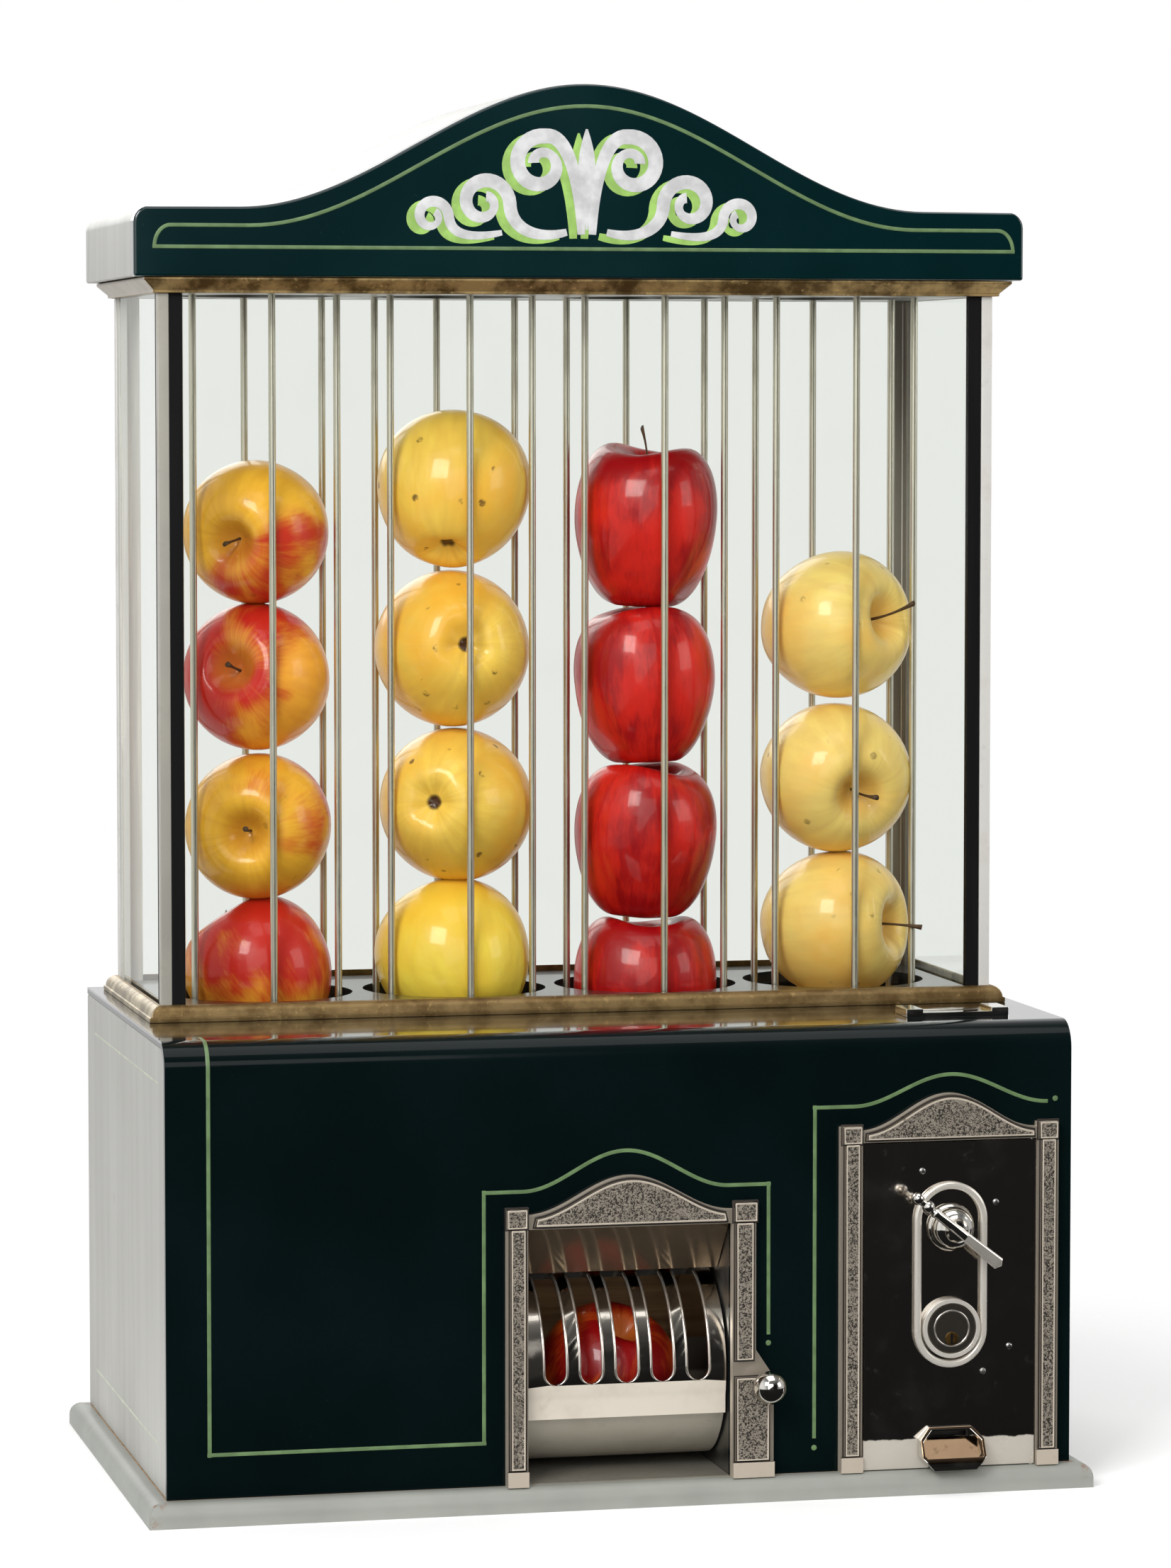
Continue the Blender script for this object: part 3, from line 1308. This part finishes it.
@dataclass
class CoinUnit:
    """Stippled frame, mirror door, handle, lock, cup and screws."""
    middle: float = 143.8
    handle_z: float = 116.5
    lock_z: float = 72.5
    bezel_z: float = 95.8
    plate_y: float = -121.5
    tilt: float = 39.0
    opening: tuple[float, float, float] = (104.4, 183.2, 154.5)
    bead_r: float = 2.8
    ring_r: float = 7.8
    keyhole_drop: float = 4.4
    screw_at: tuple[tuple[float, float], ...] = ((20.9, 31), (27.2, -32.6), (15.3, -43.2), (-12.5, 45.6))

    def handle(self) -> bpy.types.Object:
        """The lever handle: domed hub, bead finial and flat paddle."""
        builder = PieceBuilder("turn_handle_piece")
        hub = [(0, -43.7), (5, -43.7), (5, -0.2), (10.8, -0.2), (10.8, 1.0), (10.2, 2.0), (9.4, 2.6), (9.5, 4.0),
               (9.1, 6.2), (8.3, 8.0), (6.9, 9.3), (5.4, 9.9), (5.0, 10.6), (4.4, 12.4), (3.0, 13.0), (0, 13.2)]
        verts, faces = lathe(scaled(hub), 56)
        builder.add(verts, faces, Finishes.CHROME, towards_front(self.middle, self.plate_y - 0.3, self.handle_z))
        lever = (Matrix.Translation(Vector((self.middle, self.plate_y - 13.2, self.handle_z)) * MM)
                 @ Matrix.Rotation(math.radians(self.tilt), 4, "Y"))
        beads = [(0, -4), (2.3, -4), (2.2, 5), (2.0, 11), (2.4, 13.6), (1.8, 14.3)]
        for at in (17.5, 23.5):
            beads += [(z, at - x) for x, z in arc(self.bead_r, range(35, 146, 11))]
        beads += [(1.2, 26.1), (0, 26.3)]
        verts, faces = lathe(scaled(beads), 40)
        builder.add(verts, faces, Finishes.CHROME, lever @ Matrix.Rotation(-math.pi / 2, 4, "Y"))
        verts, faces = self.paddle()
        builder.add(verts, faces, Finishes.LEVER, lever)
        return builder.build(40)

    def paddle(self, rings: int = 18, steps: int = 24) -> tuple[list[tuple[float, ...]], list[list[int]]]:
        """The lever's flat end: an oval section that widens and rounds off, along +X."""
        verts = []
        for i in range(rings):
            s = i / (rings - 1)
            close = max(0.0, 1 - max(0.0, (s - 0.9) / 0.1) ** 4) ** 0.25
            half_w, half_t = (1.9 + 1.0 * s) * close, (2.0 - 0.3 * s) * (0.25 + 0.75 * close)
            for k in range(steps):
                a = 2 * math.pi * k / steps
                c, d = math.cos(a), math.sin(a)
                verts.append((29.0 * s - 4.0, half_t * math.copysign(abs(d) ** 0.6, d),
                              half_w * math.copysign(abs(c) ** 0.6, c)))
        faces = [[i * steps + k, i * steps + (k + 1) % steps, (i + 1) * steps + (k + 1) % steps, (i + 1) * steps + k]
                 for i in range(rings - 1) for k in range(steps)]
        faces += [list(range(steps))[::-1], list(range((rings - 1) * steps, rings * steps))]
        return scaled(verts), faces

    def plug(self) -> bpy.types.Object:
        """The lock's plug: turned face with a ring, and a brass keyhole low in it."""
        face_y = self.plate_y - 3.7
        builder = PieceBuilder("lock_plug_piece")
        turned = [(0, -19.2), (11, -19.2), (11, -0.5), (10.5, 0), (8.4, 0), (8.1, -0.5), (7.5, -0.5), (7.2, 0), (0, 0)]
        verts, faces = lathe(scaled(turned), 56)
        builder.add(verts, faces, Finishes.LOCK_FACE, towards_front(self.middle, face_y, self.lock_z))
        circle = arc(self.ring_r, range(0, 361, 6))
        ring = scaled((self.middle + x, face_y + 0.1, self.lock_z + z) for x, z in circle)
        builder.take(sweep("lock_ring", [ring], 0.8 * MM, 0.5 * MM, (0, -1, 0), Finishes.RIM), Finishes.RIM)
        eye = [(1.0, 0), (3.0, 0), (3.0, 0.15), (2.6, 0.25), (1.1, 0.25), (1.0, 0.05), (0, 0.05)]
        verts, faces = lathe(scaled(eye), 32)
        eye_z = self.lock_z - self.keyhole_drop
        builder.add(verts, faces, Finishes.BRASS, towards_front(self.middle, face_y, eye_z))
        slot_x, slot_y, slot_z = 0.5, 0.28, 2.3
        corners = ((-slot_x, -slot_z), (slot_x, -slot_z), (slot_x, slot_z), (-slot_x, slot_z))
        slot = [(x, slot_y, z) for x, z in corners]
        at = Matrix.Translation(Vector((self.middle, face_y - 2 * slot_y, eye_z)) * MM)
        builder.add(scaled(slot), [[0, 1, 2, 3]], Finishes.RUBBER, at)
        return builder.build(35)

    def screws(self) -> bpy.types.Object:
        """Four small domed screw heads."""
        verts, faces = lathe(scaled([(1.4, 0), (1.4, 0.35), (1.1, 0.65), (0.6, 0.78), (0, 0.8)]), 20)
        model = new_mesh("screw_model", verts, faces)
        spots = [Spot((MM * (self.middle + x), MM * self.plate_y, MM * (self.bezel_z + z)), (math.pi / 2, 0, 0))
                 for x, z in self.screw_at]
        made = scatter("door_screws_piece", model, spots, Finishes.STEEL)
        smooth(made)
        return made

    def build(self) -> None:
        """Makes the coin unit's pieces."""
        DeliveryUnit().cast_frame("coin_frame", self.opening)
        dress(eased("coin_door", 0.5), Finishes.MIRROR, "coin_door", "mirror_plate", "coin_door")
        dress(eased("lock_escutcheon", 1.3, 4), Finishes.BEZEL, "coin_door", "chrome", "lock_escutcheon")
        cup = face_painted("coin_cup", 0.5, lambda _, normal: Finishes.SCOOP if normal.y < -0.3 and normal.z > 0.3
                           else Finishes.CHROME)
        dress(cup, Finishes.CHROME, "coin_door", "chrome", "coin_cup")
        dress(eased("lock_body", 0.8, 3), Finishes.BEZEL, "coin_door", "chrome", "lock_body")
        dress(self.screws(), Finishes.STEEL, "coin_door", "steel", "door_screws")
        dress(self.handle(), Finishes.CHROME, "handle", "chrome", "turn_handle")
        dress(self.plug(), Finishes.LOCK_FACE, "lock", "steel", "lock_plug")
        paint_nodes(Finishes.STEEL, "coin_wheel", "lock_cam")


def bell(x: float, half: float, rise: float) -> float:
    """Height of a bell curve at x."""
    return rise * (1 + math.cos(math.pi * min(abs(x), half) / half)) / 2


@dataclass
class PaintLines:
    """Thin lime lines on the green front, the sign and, fainter, the pale side."""
    front_y: float = -118.0
    sign_y: float = -42.0
    width: float = 1.7
    film: float = 0.2
    edge_r: float = 12.0
    ledge_z: float = 205.0
    left_x: float = -181.5
    left_back: float = -96.0
    left_foot: float = 28.3
    arch_steps: int = 24
    dots: tuple[tuple[float, float], ...] = ((63.2, 68.1), (83.8, 21.3), (192.6, 171.1))

    def flat_lines(self, name: str, lines: Sequence[Sequence[tuple[float, float]]], y: float) -> bpy.types.Object:
        """Lines drawn in the X-Z plane on a face that looks at the customer."""
        paths = [scaled((x, y, z) for x, z in line) for line in lines]
        return sweep(name, paths, self.width * MM, self.film * MM, (0, -1, 0), Finishes.LIME)

    def arch(self, left: float, right: float, foot: float, peak: float) -> list[tuple[float, float]]:
        """A bell between two feet at one height."""
        middle, half = (left + right) / 2, (right - left) / 2
        steps = [half * i / self.arch_steps for i in range(-self.arch_steps, self.arch_steps + 1)]
        return [(middle + x, foot + bell(x, half, peak - foot)) for x in steps]

    def front(self) -> bpy.types.Object:
        """The lines on the cabinet's front."""
        delivery = self.arch(-45.8, 45.4, 137.5, 154)
        coin = self.arch(101.3, 189.2, 170, 183)
        lines = [[(-182.5, 29.3), (-61.7, 29.3)], [(-62.7, 29.3), (-62.7, 138.5)], [(-62.7, 137.5), (-45.8, 137.5)],
                 delivery, [(45.4, 137.5), (64.1, 137.5)], [(63.1, 138.5), (63.2, 71.8)],
                 [(83.8, 25.4), (83.8, 171)], [(82.8, 170), (101.3, 170)], coin]
        builder = PieceBuilder("front_lines")
        builder.take(self.flat_lines("front_flat", lines, self.front_y), Finishes.LIME)
        bend_y, bend_z = self.front_y + self.edge_r, self.ledge_z - self.edge_r
        over = [(self.left_x, self.left_back, self.ledge_z), (self.left_x, bend_y, self.ledge_z)]
        over += [(self.left_x, bend_y - back, bend_z + up) for up, back in arc(self.edge_r, range(6, 91, 6))]
        over.append((self.left_x, self.front_y, self.left_foot))
        builder.take(sweep("front_bend", [scaled(over)], self.film * MM, self.width * MM, (1, 0, 0), Finishes.LIME),
                     Finishes.LIME)
        verts, faces = lathe(scaled([(1.2, 0), (1.0, 0.08), (0, 0.1)]), 20)
        model = new_mesh("dot_model", verts, faces)
        spots = [Spot((x * MM, self.front_y * MM, z * MM), (math.pi / 2, 0, 0))
                 for x, z in self.dots]
        builder.take(scatter("line_dots", model, spots, Finishes.LIME), Finishes.LIME)
        return builder.build()

    def sign(self) -> bpy.types.Object:
        """The closed outline on the sign."""
        low, high, left, right, half, rise = 541.7, 551.0, -191.0, 195.0, 150.0, 53.0
        end_w, end_h = 7.0, high - low
        turn = [(1 - x, z) for x, z in arc(1, range(0, 91, 10))]
        top = [(right - end_w * x, low + end_h * z) for x, z in turn]
        top += [(x, high + bell(x, half, rise)) for x in [half - 5 * i for i in range(61)]]
        top += [(left + end_w * x, low + end_h * z) for x, z in reversed(turn)]
        foot = [(left - self.width / 2, low), (right + self.width / 2, low)]
        return self.flat_lines("sign_lines", [foot, top], self.sign_y)

    def side(self) -> bpy.types.Object:
        """Two faint lines on the left side board."""
        lines = [scaled(((-200.0, -98.0, z), (-200.0, 94.0, z))) for z in (186.0, 30.5)]
        return sweep("side_lines", lines, 1.1 * MM, 0.1 * MM, (-1, 0, 0), Finishes.FAINT)

    def build(self) -> None:
        """Makes the lines."""
        dress(self.front(), Finishes.LIME, "cabinet", "green_enamel")
        dress(self.sign(), Finishes.LIME, "canopy", "green_enamel")
        dress(self.side(), Finishes.FAINT, "cabinet", "grey_paint")


@dataclass(frozen=True)
class Scroll:
    """A stroke in millimetres that leaves its foot, rises and winds into a spiral.

    The line from the foot is a Bezier curve whose end is the spiral's first point.
    """
    foot: tuple[float, float]
    bends: tuple[tuple[float, float], tuple[float, float]]
    centre: tuple[float, float]
    start: float
    radius: float
    end_radius: float
    turns: float
    weight: float

    def points(self, side: int) -> list[tuple[float, float]]:
        """The stroke's points; side -1 mirrors it."""
        def wound(share: float) -> tuple[float, float]:
            """A point of the spiral."""
            a = math.radians(self.start - 360 * self.turns * share)
            r = self.radius + (self.end_radius - self.radius) * share
            return self.centre[0] + r * math.cos(a), self.centre[1] + r * math.sin(a)
        p0, (p1, p2), p3 = self.foot, self.bends, wound(0)
        line = []
        for i in range(18):
            t = i / 18
            w = ((1 - t) ** 3, 3 * t * (1 - t) ** 2, 3 * t * t * (1 - t), t ** 3)
            line.append(tuple(sum(k * q[axis] for k, q in zip(w, (p0, p1, p2, p3))) for axis in (0, 1)))
        line += [wound(i / 40) for i in range(41)]
        return [(side * x, z) for x, z in line]


@dataclass
class SignOrnament:
    """Plain scrollwork in silver with a lime shade, in the middle of the sign."""
    body: str = "canopy"
    face_y: float = -42.0
    film: float = 0.3
    shade_step: tuple[float, float] = (-3.6, -1.8)
    scrolls: tuple[Scroll, ...] = (
        Scroll((2.5, 548.0), ((3.0, 570.0), (8.0, 592.0)), (20.5, 578.5), 100, 12.5, 3.4, 1.25, 7.0),
        Scroll((9.0, 549.0), ((24.0, 545.0), (34.5, 551.0)), (46.0, 561.5), 180, 11.5, 3.0, 1.2, 6.4),
        Scroll((38.0, 548.6), ((53.0, 545.6), (61.0, 547.5)), (69.3, 555.5), 180, 7.6, 2.4, 1.15, 5.0),
    )

    def layer(self, name: str, dx: float, dz: float, lift: float, finish: Finish) -> bpy.types.Object:
        """The whole ornament in one colour.

        Args:
            name: The piece's name.
            dx: Step to the right in millimetres.
            dz: Step up.
            lift: How far it stands off the board.
            finish: Its paint.

        Returns:
            The piece.
        """
        y = self.face_y - lift
        builder = PieceBuilder(name)
        for scroll in self.scrolls:
            lines = [scaled((x + dx, y, z + dz) for x, z in scroll.points(side)) for side in (-1, 1)]
            made = sweep("stroke", lines, scroll.weight * MM, self.film * MM, (0, -1, 0), finish,
                         lambda t: 0.5 + 0.5 * math.sin(math.pi * min(1.0, 1.25 * t)) ** 0.7 + 0.25 * t ** 4)
            builder.take(made, finish)
        drop = scaled((dx, y, 550.0 + dz + 1.1 * i) for i in range(41))
        builder.take(sweep("drop", [drop], 8.0 * MM, self.film * MM, (0, -1, 0), finish,
                           lambda t: 0.12 + 0.88 * math.sin(math.pi * t ** 1.4)), finish)
        return builder.build()

    def build(self) -> None:
        """Makes the shade and the silver above it."""
        shade = self.layer("sign_shade", *self.shade_step, 0.0, Finishes.LIME_SHADE)
        dress(shade, Finishes.LIME_SHADE, self.body, "green_enamel")
        dress(self.layer("sign_silver", 0, 0, 0.15, Finishes.SILVER), Finishes.SILVER, self.body, "green_enamel")


@dataclass
class Studio:
    """White floor and surround, dark cards for the polished metal, soft lamps and the camera."""
    eye: Point = (-0.547, -2.4126, 0.473)
    pitch: float = 3.91
    yaw: float = 12.98
    lens: float = 126.9
    floor_white: Colour = (0.94, 0.94, 0.94)
    lamps: tuple[tuple[str, Point, Point, float, float], ...] = (
        ("key", (-1.35, -1.8, 1.65), (0, 0, 0.34), 1.0, 43),
        ("fill", (-0.4, -2.6, 0.9), (0, 0, 0.36), 1.8, 20),
        ("top", (0.1, -0.5, 2.1), (0, 0, 0.3), 1.5, 13),
        ("right", (1.9, -1.2, 0.9), (0, 0, 0.3), 0.9, 8),
        ("back", (-0.4, 1.6, 1.2), (0, 0, 0.3), 1.2, 11),
    )

    def surround(self) -> None:
        """White to the eye; to polished faces white above, behind and at the sides but dark in front."""
        world = bpy.data.worlds.new("surround")
        bpy.context.scene.world = world
        tree = Tree(world, "ShaderNodeOutputWorld")
        across, along, up = tree.axes(tree.node("ShaderNodeTexCoord").outputs["Generated"])
        sides = (0.0 - across).step(0.35, 0.9).most(across.step(0.5, 0.95) * 0.6)
        shine = (up.step(0.45, 0.95) * 0.3).most(sides).most(along.step(0.0, 0.4)) * 0.9 + 0.03
        path = tree.node("ShaderNodeLightPath").outputs
        seen = Value(tree, path["Is Camera Ray"]).most(Value(tree, path["Is Transmission Ray"]))
        polished = Value(tree, path["Is Glossy Ray"])
        strength = seen + polished * shine + (1.0 - seen.most(polished)) * 0.42
        tree.show(tree.node("ShaderNodeBackground", None, {"Color": (1.0, 1.0, 1.0), "Strength": strength}))

    def card(self, name: str, corners: Sequence[Point], colour: Colour, glossy_only: bool) -> bpy.types.Object:
        """A flat card that belongs to the studio.

        Args:
            name: Its name.
            corners: Its four corners in metres.
            colour: Its colour.
            glossy_only: True if only reflections show it.

        Returns:
            The card.
        """
        made = new_mesh(name, corners, [[0, 1, 2, 3]])
        material = bpy.data.materials.new(name + "_card")
        tree = Tree(material)
        tree.surface(Base__Color=colour, Roughness=0.9, Specular__IOR__Level=0.0)
        made.data.materials.append(material)
        if glossy_only:
            made.visible_camera = False
            made.visible_diffuse = False
            made.visible_shadow = False
            made.visible_transmission = False
        return made

    def cards(self) -> None:
        """Floor and dark cards."""
        floor = self.card("floor", [(-1, -1, 0), (1, -1, 0), (1, 1, 0), (-1, 1, 0)], self.floor_white, False)
        tree = Tree(floor.data.materials[0])
        across, along, _ = tree.axes(tree.place())
        away = (across * across + along * along).step(0.08, 0.3)
        tree.surface(Base__Color=self.floor_white, Roughness=0.9, Alpha=1.0 - away,
                     Emission__Color=(1.0, 1.0, 1.0), Emission__Strength=0.06)
        self.card("front_card", [(-0.6, -1.6, 0.002), (1.2, -1.6, 0.002), (1.2, -0.13, 0.002), (-0.6, -0.13, 0.002)],
                  (0.012, 0.012, 0.012), True)
        self.card("room_card", [(-1.4, -2.7, 0.0), (2.0, -2.7, 0.0), (2.0, -2.7, 1.4), (-1.4, -2.7, 1.4)],
                  (0.015, 0.015, 0.015), True)

    def light(self) -> None:
        """Soft square lamps, each looking at the machine."""
        for name, at, target, size, watts in self.lamps:
            lamp = bpy.data.lights.new(name, "AREA")
            lamp.size = size
            lamp.energy = watts
            holder = linked(name, lamp)
            holder.location = at
            holder.rotation_euler = (Vector(target) - Vector(at)).to_track_quat("-Z", "Y").to_euler()

    def camera(self) -> None:
        """The photo's view."""
        lens = bpy.data.cameras.new("photo_view")
        lens.lens = self.lens
        lens.sensor_width = 36.0
        holder = linked("photo_view", lens)
        holder.location = self.eye
        holder.rotation_euler = (math.radians(90 - self.pitch), 0.0, math.radians(-self.yaw))
        bpy.context.scene.camera = holder

    def build(self) -> None:
        """Sets up the studio."""
        self.surround()
        self.cards()
        self.light()
        self.camera()
        bpy.context.scene.view_settings.view_transform = "Standard"


def main() -> None:
    """Dresses the machine and sets up the studio."""
    logging.basicConfig(level=logging.INFO, format="%(name)s: %(message)s")
    for part in (Cabinet(), Canopy(), FruitStock(), DeliveryUnit(), CoinUnit(), PaintLines(), SignOrnament(), Studio()):
        part.build()


if __name__ == "__main__":
    main()
